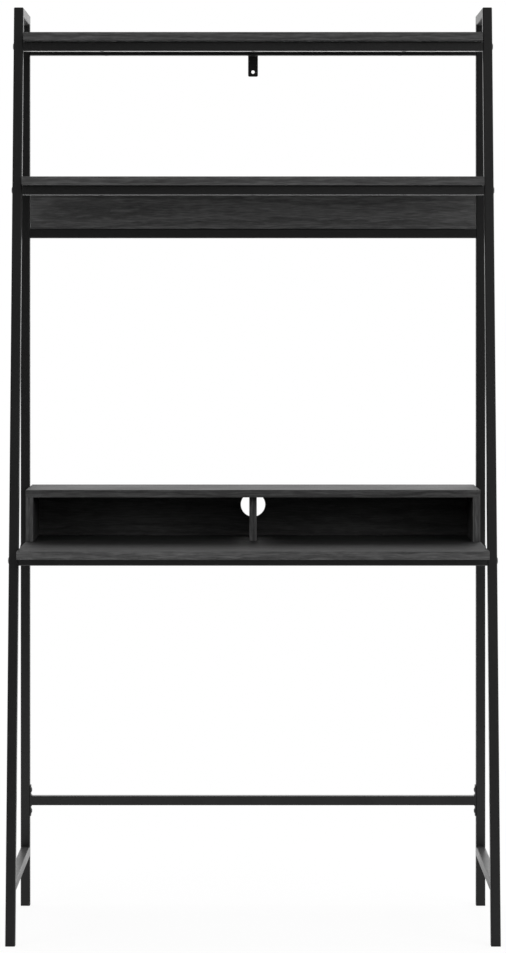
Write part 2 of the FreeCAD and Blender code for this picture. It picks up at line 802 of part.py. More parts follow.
os.makedirs("parts", exist_ok=True)
for node in nodes:
    node.Shape.exportStep(f"parts/{node.Label}.step")
    print(f"{node.Label}: {len(node.Shape.Solids)} solid(s), {node.Shape.Volume / 1000:.1f} cm3")
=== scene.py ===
import bmesh
import bpy
import json
import math
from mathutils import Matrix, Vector


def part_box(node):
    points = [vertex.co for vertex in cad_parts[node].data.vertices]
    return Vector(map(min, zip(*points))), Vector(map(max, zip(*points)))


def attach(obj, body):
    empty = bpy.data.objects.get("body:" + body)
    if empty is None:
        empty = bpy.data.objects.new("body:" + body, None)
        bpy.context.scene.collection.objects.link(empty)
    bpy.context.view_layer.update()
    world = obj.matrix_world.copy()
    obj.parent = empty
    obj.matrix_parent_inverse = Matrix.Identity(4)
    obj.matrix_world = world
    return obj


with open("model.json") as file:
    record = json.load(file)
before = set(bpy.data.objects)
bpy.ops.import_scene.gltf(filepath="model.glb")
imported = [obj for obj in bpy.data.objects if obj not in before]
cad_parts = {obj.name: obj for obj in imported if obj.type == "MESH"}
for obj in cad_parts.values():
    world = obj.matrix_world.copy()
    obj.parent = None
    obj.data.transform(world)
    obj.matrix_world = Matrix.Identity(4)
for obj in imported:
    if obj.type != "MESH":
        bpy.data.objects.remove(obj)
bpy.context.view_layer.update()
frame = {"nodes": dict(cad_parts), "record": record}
nodes = frame["nodes"]
scene = bpy.context.scene
scene.view_settings.view_transform = "Standard"
print("ladder desk loaded:", len(nodes), "nodes")


# small helpers for node trees

def addNode(tree, kind, **settings):
    node = tree.nodes.new(kind)
    for name, value in settings.items():
        setattr(node, name, value)
    return node


def feed(tree, socket, value):  # a number or colour is set, a socket is linked
    if isinstance(value, bpy.types.NodeSocket):
        tree.links.new(value, socket)
    else:
        socket.default_value = value


def calc(tree, operation, first, second=None, third=None, clamp=False):
    node = addNode(tree, "ShaderNodeMath", operation=operation, use_clamp=clamp)
    for socket, value in zip(node.inputs, (first, second, third)):
        if value is not None:
            feed(tree, socket, value)
    return node.outputs[0]


def remap(tree, value, fromLow, fromHigh, toLow=0.0, toHigh=1.0):  # a smooth step between two ranges
    node = addNode(tree, "ShaderNodeMapRange", interpolation_type="SMOOTHSTEP", clamp=True)
    for name, number in (("Value", value), ("From Min", fromLow), ("From Max", fromHigh),
                         ("To Min", toLow), ("To Max", toHigh)):
        feed(tree, node.inputs[name], number)
    return node.outputs["Result"]


def scaled(tree, vector, factors, shift=(0.0, 0.0, 0.0), turn=(0.0, 0.0, 0.0)):
    node = addNode(tree, "ShaderNodeMapping")
    feed(tree, node.inputs["Vector"], vector)
    node.inputs["Scale"].default_value = factors
    node.inputs["Location"].default_value = shift
    node.inputs["Rotation"].default_value = turn
    return node.outputs["Vector"]


def noise(tree, vector, scale, detail=2.0, roughness=0.5):
    node = addNode(tree, "ShaderNodeTexNoise")
    feed(tree, node.inputs["Vector"], vector)
    feed(tree, node.inputs["Scale"], scale)
    node.inputs["Detail"].default_value = detail
    node.inputs["Roughness"].default_value = roughness
    return node.outputs["Fac"]


def grainNoise(tree, vector, scales, detail=2.0, roughness=0.5):  # drawn out along the grain
    return noise(tree, scaled(tree, vector, scales), 1.0, detail, roughness)


def blendColours(tree, factor, first, second):
    node = addNode(tree, "ShaderNodeMix", data_type="RGBA", clamp_factor=True)
    feed(tree, node.inputs["Factor"], factor)
    feed(tree, node.inputs[6], first)
    feed(tree, node.inputs[7], second)
    return node.outputs[2]


def grey(level):
    return (level, level, level, 1.0)


def newGroup(name, inputs, outputs):
    tree = bpy.data.node_groups.new(name, "ShaderNodeTree")
    for label, kind, default in inputs:
        socket = tree.interface.new_socket(label, in_out="INPUT", socket_type=kind)
        if default is not None:
            socket.default_value = default
    for label in outputs:
        tree.interface.new_socket(label, in_out="OUTPUT", socket_type="NodeSocketFloat")
    return tree, addNode(tree, "NodeGroupInput").outputs, addNode(tree, "NodeGroupOutput").inputs


def placeGroup(tree, group, **values):
    node = addNode(tree, "ShaderNodeGroup", node_tree=group)
    for name, value in values.items():
        feed(tree, node.inputs[name], value)
    return node.outputs


# shared effects, each a group that the finishes below place with their own values

# triples are noise scales along and across the grain; the drift and the reaches are in metres
oakGrain = {
    "wander": (18.0, 34.0, 34.0), "drift": (0.0, 0.006, 0.006),
    "wobble": (1.6, 7.0, 7.0), "wobbleReach": 0.03, "ripple": (14.0, 90.0, 90.0), "rippleReach": 0.005,
    "lateRise": (0.0, 0.55), "lateFall": (1.0, 0.86),
    "pore": (70.0, 1500.0, 1500.0), "poreRange": (0.56, 0.66),
    "earlyRange": (0.1, 0.9), "earlyShare": (0.25, 1.0),
    "fibre": (36.0, 620.0, 620.0), "streak": (28.0, 400.0, 400.0), "cloud": (3.5, 16.0, 16.0),
    "toneStart": -0.55, "lateTone": 0.2, "fibreTone": 0.75, "streakTone": 0.85, "cloudTone": 0.35,
    "fibreRelief": 0.35, "lateRelief": 0.25, "poreRelief": 0.8,
}


def makeOakFigure():
    tree, inside, out = newGroup(
        "oakFigure",
        [("Vector", "NodeSocketVector", None), ("Rings", "NodeSocketFloat", 150.0)],
        ["Tone", "Pores", "Relief"],
    )
    # the fibres wander a few millimetres to and fro along the board
    wander = addNode(tree, "ShaderNodeTexNoise")
    tree.links.new(scaled(tree, inside["Vector"], oakGrain["wander"]), wander.inputs["Vector"])
    wander.inputs["Scale"].default_value = 1.0
    wander.inputs["Detail"].default_value = 2.0
    centred = addNode(tree, "ShaderNodeVectorMath", operation="SUBTRACT")
    tree.links.new(wander.outputs["Color"], centred.inputs[0])
    centred.inputs[1].default_value = (0.5, 0.5, 0.5)  # the middle of the noise's range
    drift = addNode(tree, "ShaderNodeVectorMath", operation="MULTIPLY_ADD")
    tree.links.new(centred.outputs[0], drift.inputs[0])
    drift.inputs[1].default_value = oakGrain["drift"]
    tree.links.new(inside["Vector"], drift.inputs[2])
    place = drift.outputs[0]
    # growth rings about an axis that runs along the board, bent by a slow wobble
    wobble = grainNoise(tree, place, oakGrain["wobble"])
    ripple = grainNoise(tree, place, oakGrain["ripple"])
    parts = addNode(tree, "ShaderNodeSeparateXYZ")
    tree.links.new(place, parts.inputs[0])
    across = calc(tree, "MULTIPLY", parts.outputs["Y"], parts.outputs["Y"])
    radius = calc(tree, "SQRT", calc(tree, "MULTIPLY_ADD", parts.outputs["Z"], parts.outputs["Z"], across))
    radius = calc(tree, "MULTIPLY_ADD", wobble, oakGrain["wobbleReach"], radius)
    radius = calc(tree, "MULTIPLY_ADD", ripple, oakGrain["rippleReach"], radius)
    phase = calc(tree, "FRACT", calc(tree, "MULTIPLY", radius, inside["Rings"]))
    rise = remap(tree, phase, *oakGrain["lateRise"])
    fall = remap(tree, phase, *oakGrain["lateFall"])
    late = calc(tree, "MULTIPLY", rise, fall)
    early = calc(tree, "SUBTRACT", 1.0, late)
    # short open pores, dense in the early wood, and fine fibre lines
    dashes = grainNoise(tree, place, oakGrain["pore"], detail=1.0)
    dense = remap(tree, early, *oakGrain["earlyRange"], *oakGrain["earlyShare"])
    pores = calc(tree, "MULTIPLY", remap(tree, dashes, *oakGrain["poreRange"]), dense)
    fibre = grainNoise(tree, place, oakGrain["fibre"], detail=3.0, roughness=0.6)
    streak = grainNoise(tree, place, oakGrain["streak"])
    cloud = grainNoise(tree, place, oakGrain["cloud"], detail=3.0)
    tone = calc(tree, "MULTIPLY_ADD", late, oakGrain["lateTone"], oakGrain["toneStart"])
    tone = calc(tree, "MULTIPLY_ADD", fibre, oakGrain["fibreTone"], tone)
    tone = calc(tree, "MULTIPLY_ADD", streak, oakGrain["streakTone"], tone)
    tone = calc(tree, "MULTIPLY_ADD", cloud, oakGrain["cloudTone"], tone, clamp=True)
    feed(tree, out["Tone"], tone)
    feed(tree, out["Pores"], pores)
    raised = calc(tree, "MULTIPLY", late, oakGrain["lateRelief"])
    raised = calc(tree, "MULTIPLY_ADD", fibre, oakGrain["fibreRelief"], raised)
    sunk = calc(tree, "MULTIPLY", pores, oakGrain["poreRelief"])
    feed(tree, out["Relief"], calc(tree, "SUBTRACT", raised, sunk))
    return tree


# how far the rounded normal leaves the face at an edge, and which patches of the edge are rubbed
wearLook = {"samples": 6, "edgeRange": (0.995, 0.82), "patchRange": (0.38, 0.66)}


def makeEdgeWear():
    tree, inside, out = newGroup(
        "edgeWear",
        [("Vector", "NodeSocketVector", None), ("Width", "NodeSocketFloat", 0.002),
         ("Breakup", "NodeSocketFloat", 60.0)],
        ["Mask"],
    )
    rounded = addNode(tree, "ShaderNodeBevel", samples=wearLook["samples"])
    tree.links.new(inside["Width"], rounded.inputs["Radius"])
    surface = addNode(tree, "ShaderNodeNewGeometry")
    facing = addNode(tree, "ShaderNodeVectorMath", operation="DOT_PRODUCT")
    tree.links.new(rounded.outputs["Normal"], facing.inputs[0])
    tree.links.new(surface.outputs["True Normal"], facing.inputs[1])
    edge = remap(tree, facing.outputs["Value"], *wearLook["edgeRange"])
    patches = noise(tree, inside["Vector"], inside["Breakup"], detail=4.0)
    worn = remap(tree, patches, *wearLook["patchRange"])
    feed(tree, out["Mask"], calc(tree, "MULTIPLY", edge, worn))
    return tree


# only faces that look up gather dust, in drifts and in specks
dustLook = {"levelRange": (0.55, 0.98),
            "driftScale": 7.0, "driftRange": (0.3, 0.75), "driftShare": (0.35, 1.0),
            "speckScale": 900.0, "speckRange": (0.5, 0.72), "speckShare": (0.55, 1.0)}


def makeSettledDust():
    tree, inside, out = newGroup(
        "settledDust",
        [("Vector", "NodeSocketVector", None), ("Amount", "NodeSocketFloat", 0.2)],
        ["Mask"],
    )
    surface = addNode(tree, "ShaderNodeNewGeometry")
    parts = addNode(tree, "ShaderNodeSeparateXYZ")
    tree.links.new(surface.outputs["Normal"], parts.inputs[0])
    level = remap(tree, parts.outputs["Z"], *dustLook["levelRange"])
    drift = noise(tree, inside["Vector"], dustLook["driftScale"], detail=5.0, roughness=0.6)
    drift = remap(tree, drift, *dustLook["driftRange"], *dustLook["driftShare"])
    specks = noise(tree, inside["Vector"], dustLook["speckScale"], detail=1.0)
    specks = remap(tree, specks, *dustLook["speckRange"], *dustLook["speckShare"])
    film = calc(tree, "MULTIPLY", calc(tree, "MULTIPLY", level, drift), specks)
    feed(tree, out["Mask"], calc(tree, "MULTIPLY", film, inside["Amount"], clamp=True))
    return tree


# broad clouds and smaller rubbed patches, as hands and cloths leave them
sheenLook = {"cloudScale": 5.0, "cloudShare": 0.55, "rubScale": (18.0, 26.0, 22.0), "rubShare": 0.45,
             "mixRange": (0.32, 0.68)}


def makeHandledSheen():
    tree, inside, out = newGroup(
        "handledSheen",
        [("Vector", "NodeSocketVector", None), ("Low", "NodeSocketFloat", 0.35),
         ("High", "NodeSocketFloat", 0.5)],
        ["Roughness"],
    )
    clouds = noise(tree, inside["Vector"], sheenLook["cloudScale"], detail=4.0, roughness=0.55)
    clouds = calc(tree, "MULTIPLY", clouds, sheenLook["cloudShare"])
    rubs = grainNoise(tree, inside["Vector"], sheenLook["rubScale"], detail=3.0, roughness=0.65)
    mixed = calc(tree, "MULTIPLY_ADD", rubs, sheenLook["rubShare"], clouds)
    feed(tree, out["Roughness"], remap(tree, mixed, *sheenLook["mixRange"], inside["Low"], inside["High"]))
    return tree


# the fine grain of a sprayed coat over a broader orange peel
grainLook = {"peelScale": 260.0, "peelShare": 0.8, "speckleRange": (0.42, 0.64)}


def makeCoatGrain():
    tree, inside, out = newGroup(
        "coatGrain",
        [("Vector", "NodeSocketVector", None), ("Size", "NodeSocketFloat", 1600.0)],
        ["Relief", "Speckle"],
    )
    fine = noise(tree, inside["Vector"], inside["Size"])
    peel = noise(tree, inside["Vector"], grainLook["peelScale"], detail=1.0)
    feed(tree, out["Relief"], calc(tree, "MULTIPLY_ADD", peel, grainLook["peelShare"], fine))
    feed(tree, out["Speckle"], remap(tree, fine, *grainLook["speckleRange"]))
    return tree


oakFigure = makeOakFigure()
edgeWear = makeEdgeWear()
settledDust = makeSettledDust()
handledSheen = makeHandledSheen()
coatGrain = makeCoatGrain()
print("shared effects made:", len(bpy.data.node_groups))


def newFinish(name):
    material = bpy.data.materials.new(name)
    material.use_nodes = True
    tree = material.node_tree
    shader = tree.nodes["Principled BSDF"]
    place = addNode(tree, "ShaderNodeTexCoord").outputs["Object"]
    return material, tree, shader, place


def bumpFrom(tree, shader, height, strength, depth):
    bump = addNode(tree, "ShaderNodeBump")
    bump.inputs["Strength"].default_value = strength
    bump.inputs["Distance"].default_value = depth
    tree.links.new(height, bump.inputs["Height"])
    tree.links.new(bump.outputs["Normal"], shader.inputs["Normal"])


# coated steel, black bolts, moulded plastic and zinc plate; the two shelves' front rails have a paler bloom

# greys of the speckle and the worn edges, share of dust, low and high roughness, scale and strength of the
# grain, width of the worn edge in metres
coatedLooks = {
    "powderCoat": {"dark": 0.003, "light": 0.006, "worn": 0.025, "dust": 0.02,
                   "low": 0.31, "high": 0.39, "grain": 1500.0, "relief": 0.02,
                   "edge": 0.0022, "specular": 0.54, "metal": 0.0, "bloom": 0.1},
    "railCoat": {"dark": 0.003, "light": 0.006, "worn": 0.025, "dust": 0.02,
                 "low": 0.19, "high": 0.26, "grain": 1500.0, "relief": 0.02,
                 "edge": 0.0022, "specular": 0.6, "metal": 0.0, "bloom": 1.0},
    "blackOxide": {"dark": 0.006, "light": 0.014, "worn": 0.10, "dust": 0.03,
                   "low": 0.24, "high": 0.36, "grain": 2600.0, "relief": 0.12,
                   "edge": 0.0009, "specular": 0.4, "metal": 0.0, "bloom": 0.0},
    "mouldedBlack": {"dark": 0.006, "light": 0.010, "worn": 0.03, "dust": 0.05,
                     "low": 0.46, "high": 0.60, "grain": 2200.0, "relief": 0.3,
                     "edge": 0.0012, "specular": 0.35, "metal": 0.0, "bloom": 0.0},
    "zincPlate": {"dark": 0.36, "light": 0.50, "worn": 0.62, "dust": 0.05,
                  "low": 0.26, "high": 0.42, "grain": 900.0, "relief": 0.08,
                  "edge": 0.0008, "specular": 0.5, "metal": 1.0, "bloom": 0.0},
}
coatedShared = {"wearShare": 0.5, "wearRough": -0.08, "dustGrey": 0.22, "dustRough": 0.35,
                "bloomSpread": 0.32, "bumpDepth": 0.00025}


def makeCoatedFinish(name, look):
    material, tree, shader, place = newFinish(name)
    grain = placeGroup(tree, coatGrain, Vector=place, Size=look["grain"])
    wear = placeGroup(tree, edgeWear, Vector=place, Width=look["edge"])["Mask"]
    dust = placeGroup(tree, settledDust, Vector=place, Amount=look["dust"])["Mask"]
    sheen = placeGroup(tree, handledSheen, Vector=place, Low=look["low"], High=look["high"])["Roughness"]
    colour = blendColours(tree, grain["Speckle"], grey(look["dark"]), grey(look["light"]))
    rubbed = calc(tree, "MULTIPLY", wear, coatedShared["wearShare"])
    colour = blendColours(tree, rubbed, colour, grey(look["worn"]))
    colour = blendColours(tree, dust, colour, grey(coatedShared["dustGrey"]))
    tree.links.new(colour, shader.inputs["Base Color"])
    rough = calc(tree, "MULTIPLY_ADD", wear, coatedShared["wearRough"], sheen)
    rough = calc(tree, "MULTIPLY_ADD", dust, coatedShared["dustRough"], rough, clamp=True)
    tree.links.new(rough, shader.inputs["Roughness"])
    shader.inputs["Metallic"].default_value = look["metal"]
    shader.inputs["Specular IOR Level"].default_value = look["specular"]
    shader.inputs["Sheen Weight"].default_value = look["bloom"]
    shader.inputs["Sheen Roughness"].default_value = coatedShared["bloomSpread"]
    bumpFrom(tree, shader, grain["Relief"], look["relief"], coatedShared["bumpDepth"])
    return material


coatedFinishes = {name: makeCoatedFinish(name, look) for name, look in coatedLooks.items()}


# charcoal oak boards: each is cut from its own place in the log, with its grain along its length

oakLook = {"deep": 0.017, "middle": 0.041, "pale": 0.092,
           "pore": 0.45, "poreGrey": 0.008, "poreRough": 0.12,
           "worn": 0.11, "wearShare": 0.4, "wearWidth": 0.0016, "wearBreakup": 35.0,
           "dust": 0.012, "dustGrey": 0.25, "dustRough": 0.3,
           "low": 0.48, "high": 0.58, "relief": 0.45, "bumpDepth": 0.0003, "specular": 0.30}
alongX = (0.0, 0.0, 0.0)
alongY = (0.0, 0.0, math.radians(-90))
alongZ = (0.0, math.radians(90), 0.0)
# axis that the faces look along, run of their grain, ends that look along the named axis and their run,
# place in the log, rings per metre, grey factor of the broad faces (shade) and of the narrow edge faces;
# most factors are tone that differs from board to board, but the desk's faces (0.5), the cubby's back
# (0.55) and the cubby's sides and divider (0.6) are painted shade, and the desk's lighter edge factor
# paints a highlight along its front edge
oakBoards = {
    "desk_panel": {"finish": "deskOak", "flat": "Z", "run": alongX, "edge": ("X", alongY),
                   "log": (0.31, 0.03, -0.66), "rings": 150.0, "shade": 0.5, "edgingWithPaintedLight": 1.08},
    "middle_shelf_panel": {"finish": "middleShelfOak", "flat": "Z", "run": alongX, "edge": ("X", alongY),
                           "log": (1.7, -0.02, -1.36), "rings": 135.0, "shade": 0.95, "edgingWithPaintedLight": 0.95},
    "top_shelf_panel": {"finish": "topShelfOak", "flat": "Z", "run": alongX, "edge": ("X", alongY),
                        "log": (2.9, -0.09, -1.66), "rings": 160.0, "shade": 0.95, "edgingWithPaintedLight": 0.95},
    "apron_board": {"finish": "apronOak", "flat": "Y", "run": alongX, "edge": ("X", alongZ),
                    "log": (0.8, -0.16, -1.42), "rings": 140.0, "shade": 0.95, "edgingWithPaintedLight": 0.95},
    "cubby_top_panel": {"finish": "cubbyTopOak", "flat": "Z", "run": alongX, "edge": ("X", alongY),
                        "log": (4.1, -0.15, -0.79), "rings": 150.0, "shade": 0.9, "edgingWithPaintedLight": 0.9},
    "cubby_back_panel": {"finish": "cubbyBackOak", "flat": "Y", "run": alongX, "edge": ("X", alongZ),
                         "log": (5.3, -0.16, -0.80), "rings": 130.0, "shade": 0.55, "edgingWithPaintedLight": 0.7},
    "cubby_left_side": {"finish": "cubbyLeftOak", "flat": "X", "run": alongY, "edge": ("Y", alongZ),
                        "log": (0.2, 0.38, -0.80), "rings": 150.0, "shade": 0.6, "edgingWithPaintedLight": 1.0},
    "cubby_right_side": {"finish": "cubbyRightOak", "flat": "X", "run": alongY, "edge": ("Y", alongZ),
                         "log": (1.1, -0.50, -0.82), "rings": 150.0, "shade": 0.6, "edgingWithPaintedLight": 1.0},
    "cubby_divider": {"finish": "cubbyDividerOak", "flat": "X", "run": alongY, "edge": ("Y", alongZ),
                      "log": (2.3, -0.06, -0.80), "rings": 140.0, "shade": 0.6, "edgingWithPaintedLight": 1.0},
}
endFacing = 0.75  # how squarely a surface looks along the axis to count as a board's end
narrowFaceRange = (0.7, 0.3)  # from a board's broad face to its narrow edge faces
plainScale = (1.0, 1.0, 1.0)


def oakTone(tree, tone, shade):
    ramp = addNode(tree, "ShaderNodeValToRGB")
    ramp.color_ramp.elements[0].color = grey(oakLook["deep"] * shade)
    ramp.color_ramp.elements[1].color = grey(oakLook["pale"] * shade)
    ramp.color_ramp.elements.new(0.5).color = grey(oakLook["middle"] * shade)
    tree.links.new(tone, ramp.inputs["Fac"])
    return ramp.outputs["Color"]


def makeOakBoard(board):
    material, tree, shader, place = newFinish(board["finish"])
    axis, edgeRun = board["edge"]
    surface = addNode(tree, "ShaderNodeNewGeometry")
    parts = addNode(tree, "ShaderNodeSeparateXYZ")
    tree.links.new(surface.outputs["True Normal"], parts.inputs[0])
    onEdge = calc(tree, "GREATER_THAN", calc(tree, "ABSOLUTE", parts.outputs[axis]), endFacing)
    chosen = addNode(tree, "ShaderNodeMix", data_type="VECTOR")
    tree.links.new(onEdge, chosen.inputs["Factor"])
    tree.links.new(scaled(tree, place, plainScale, board["log"], board["run"]), chosen.inputs[4])
    tree.links.new(scaled(tree, place, plainScale, board["log"], edgeRun), chosen.inputs[5])
    figure = placeGroup(tree, oakFigure, Vector=chosen.outputs[1], Rings=board["rings"])
    wear = placeGroup(tree, edgeWear, Vector=place, Width=oakLook["wearWidth"],
                      Breakup=oakLook["wearBreakup"])["Mask"]
    dust = placeGroup(tree, settledDust, Vector=place, Amount=oakLook["dust"])["Mask"]
    sheen = placeGroup(tree, handledSheen, Vector=place, Low=oakLook["low"], High=oakLook["high"])
    # broad faces take the board's shade factor and narrow edge faces its edge factor: painted shade on the
    # desk's top and the cubby's inner faces, and a painted highlight along the desk's front edge
    faceToneAndPaintedShade = oakTone(tree, figure["Tone"], board["shade"])
    edgeToneAndPaintedLight = oakTone(tree, figure["Tone"], board["edgingWithPaintedLight"])
    onNarrowFace = remap(tree, calc(tree, "ABSOLUTE", parts.outputs[board["flat"]]), *narrowFaceRange)
    colour = blendColours(tree, onNarrowFace, faceToneAndPaintedShade, edgeToneAndPaintedLight)
    dark = calc(tree, "MULTIPLY", figure["Pores"], oakLook["pore"])
    colour = blendColours(tree, dark, colour, grey(oakLook["poreGrey"]))
    rubbed = calc(tree, "MULTIPLY", wear, oakLook["wearShare"])
    colour = blendColours(tree, rubbed, colour, grey(oakLook["worn"]))
    colour = blendColours(tree, dust, colour, grey(oakLook["dustGrey"]))
    tree.links.new(colour, shader.inputs["Base Color"])
    rough = calc(tree, "MULTIPLY_ADD", figure["Pores"], oakLook["poreRough"], sheen["Roughness"])
    rough = calc(tree, "MULTIPLY_ADD", dust, oakLook["dustRough"], rough, clamp=True)
    tree.links.new(rough, shader.inputs["Roughness"])
    shader.inputs["Specular IOR Level"].default_value = oakLook["specular"]
    bumpFrom(tree, shader, figure["Relief"], oakLook["relief"], oakLook["bumpDepth"])
    return material


beechLook = {"deep": (0.36, 0.21, 0.10, 1.0), "pale": (0.62, 0.42, 0.24, 1.0),
             "pore": 0.3, "poreColour": (0.2, 0.1, 0.05, 1.0), "rings": 320.0,
             "low": 0.55, "high": 0.7, "relief": 0.3, "bumpDepth": 0.0002}


def makeBeech():
    material, tree, shader, place = newFinish("beechDowel")
    along = scaled(tree, place, plainScale, turn=alongZ)
    figure = placeGroup(tree, oakFigure, Vector=along, Rings=beechLook["rings"])
    sheen = placeGroup(tree, handledSheen, Vector=place, Low=beechLook["low"], High=beechLook["high"])
    colour = blendColours(tree, figure["Tone"], beechLook["deep"], beechLook["pale"])
    dark = calc(tree, "MULTIPLY", figure["Pores"], beechLook["pore"])
    colour = blendColours(tree, dark, colour, beechLook["poreColour"])
    tree.links.new(colour, shader.inputs["Base Color"])
    tree.links.new(sheen["Roughness"], shader.inputs["Roughness"])
    bumpFrom(tree, shader, figure["Relief"], beechLook["relief"], beechLook["bumpDepth"])
    return material


slotFinishes = {
    "frame_steel": coatedFinishes["powderCoat"],
    "bolt_black": coatedFinishes["blackOxide"],
    "foot_plastic": coatedFinishes["mouldedBlack"],
    "hidden_steel": coatedFinishes["zincPlate"],
    "dowel_wood": makeBeech(),
}
frontRails = ("top_shelf_front_rail", "middle_shelf_front_rail")  # their undersides catch a thin light line
for part in frame["record"]["subparts"]:
    node = nodes[part["node"]]
    if part["node"] in oakBoards:
        finish = makeOakBoard(oakBoards[part["node"]])
    elif part["node"] in frontRails:
        finish = coatedFinishes["railCoat"]
    else:
        finish = slotFinishes[part["material_slot"]]
    node.material_slots[0].material = finish
print("finishes placed:", len(bpy.data.materials))


# weld beads where the frame's tubes, the stretcher's plates and the wall tab are joined

weldBead = {"radius": 0.0019, "length": 0.0158, "ripples": 11, "swell": 1.2, "lean": 0.45, "taper": 0.55,
            "sides": 12, "tabStretch": 1.2}


def pickVertices(test):
    mesh = bmesh.from_edit_mesh(bpy.context.edit_object.data)
    for vertex in mesh.verts:
        vertex.select = test(vertex.co)
    mesh.select_flush(True)
    bmesh.update_edit_mesh(bpy.context.edit_object.data)


def pickEdges(test):
    mesh = bmesh.from_edit_mesh(bpy.context.edit_object.data)
    for edge in mesh.edges:
        edge.select = test(edge)
    bmesh.update_edit_mesh(bpy.context.edit_object.data)


def modelWeldBead():
    half = weldBead["length"] / 2
    step = weldBead["length"] / (2 * weldBead["ripples"])
    onRing = step / 4  # how near a corner lies to count as on a ring
    swell = weldBead["swell"]
    taper = weldBead["taper"]
    bpy.ops.object.select_all(action="DESELECT")
    bpy.ops.mesh.primitive_cylinder_add(vertices=weldBead["sides"], radius=weldBead["radius"],
                                        depth=weldBead["length"], end_fill_type="TRIFAN",
                                        rotation=(0.0, math.radians(90), 0.0))
    bpy.ops.object.transform_apply(location=True, rotation=True, scale=True)
    bpy.ops.object.mode_set(mode="EDIT")
    bpy.ops.mesh.select_mode(type="EDGE")
    pickEdges(lambda edge: abs(edge.verts[0].co.x - edge.verts[1].co.x) > half)
    bpy.ops.mesh.subdivide(number_cuts=2 * weldBead["ripples"] - 1)
    bpy.ops.mesh.select_mode(type="VERT")
    for ripple in range(weldBead["ripples"]):  # every second ring swells into a ripple and leans a little
        crest = -half + (2 * ripple + 1) * step
        pickVertices(lambda place: abs(place.x - crest) < onRing)
        bpy.ops.transform.resize(value=(1.0, swell, swell))
        bpy.ops.transform.translate(value=(step * weldBead["lean"], 0.0, 0.0))
    for end in (-half, half):
        pickVertices(lambda place: abs(place.x - end) < onRing)
        bpy.ops.transform.resize(value=(1.0, taper, taper))
    bpy.ops.object.mode_set(mode="OBJECT")
    bead = bpy.context.object
    rounding = bead.modifiers.new("rounding", "SUBSURF")
    rounding.levels = 1
    rounding.render_levels = 1
    bpy.ops.object.modifier_apply(modifier="rounding")
    bpy.ops.object.shade_smooth()
    return bead


def layBeads(name, pattern, places, turn=0.0, stretch=1.0):
    copies = []
    for place in places:
        copy = pattern.copy()
        copy.data = pattern.data.copy()
        scene.collection.objects.link(copy)
        copy.location = place
        copy.rotation_euler = (0.0, 0.0, turn)
        copy.scale = (stretch, 1.0, 1.0)
        copies.append(copy)
    bpy.ops.object.select_all(action="DESELECT")
    for copy in copies:
        copy.select_set(True)
    bpy.context.view_layer.objects.active = copies[0]
    if len(copies) > 1:
        bpy.ops.object.join()
    bpy.ops.object.transform_apply(location=True, rotation=True, scale=True)
    joined = bpy.context.object
    joined.name = name
    joined.data.materials.clear()
    joined.data.materials.append(coatedFinishes["powderCoat"])
    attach(joined, "root")


beadPattern = modelWeldBead()
for side in ("left", "right"):
    barLow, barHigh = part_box(side + "_lower_bar")
    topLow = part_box(side + "_top_bar")[0]
    legLow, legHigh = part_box(side + "_front_leg")
    middle = (barLow.x + barHigh.x) / 2
    tube = barHigh.z - barLow.z
    lean = (legHigh.y - legLow.y - tube) / (legHigh.z - legLow.z)  # how far the leg leans back as it rises
    innerCorner = legHigh.y  # the front leg reaches furthest back where it meets the top bar
    layBeads("weldBeads" + side.capitalize(), beadPattern, [
        (middle, barLow.y, barLow.z),
        (middle, barLow.y + lean * tube, barHigh.z),
        (middle, barHigh.y, barLow.z),
        (middle, barHigh.y, barHigh.z),
        (middle, innerCorner, topLow.z),
        (middle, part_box(side + "_rear_leg")[0].y, topLow.z),
    ])

stretcherLow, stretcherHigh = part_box("rear_stretcher")
stretcherMiddle = (stretcherLow.y + stretcherHigh.y) / 2
layBeads("weldBeadsStretcher", beadPattern, [
    (x, stretcherMiddle, z)
    for x in (stretcherLow.x, stretcherHigh.x) for z in (stretcherLow.z, stretcherHigh.z)
], turn=math.radians(90))
tabLow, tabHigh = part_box("wall_tab")
layBeads("weldBeadTab", beadPattern, [(0.0, tabLow.y, tabHigh.z)], stretch=weldBead["tabStretch"])
bpy.data.objects.remove(beadPattern)
print("weld beads laid")


# floor, light and camera

# greys and shares of white; the ends and reaches are distances from the desk's middle in metres
stageLook = {"floorSize": 80.0, "floorGrey": 0.86, "cloudGrey": 0.8944, "cloudScale": 3.0,
             "bounceGrey": 0.8, "rough": 0.7, "specular": 0.1,
             "nearWhite": 0.9, "nearReach": 0.7, "farReach": 2.4,
             "litEnd": -0.6, "darkEnd": -4.0, "darkGrey": 0.1,
             "shadeGrey": 0.35, "shadeStart": 0.3, "shadeReach": 1.0}


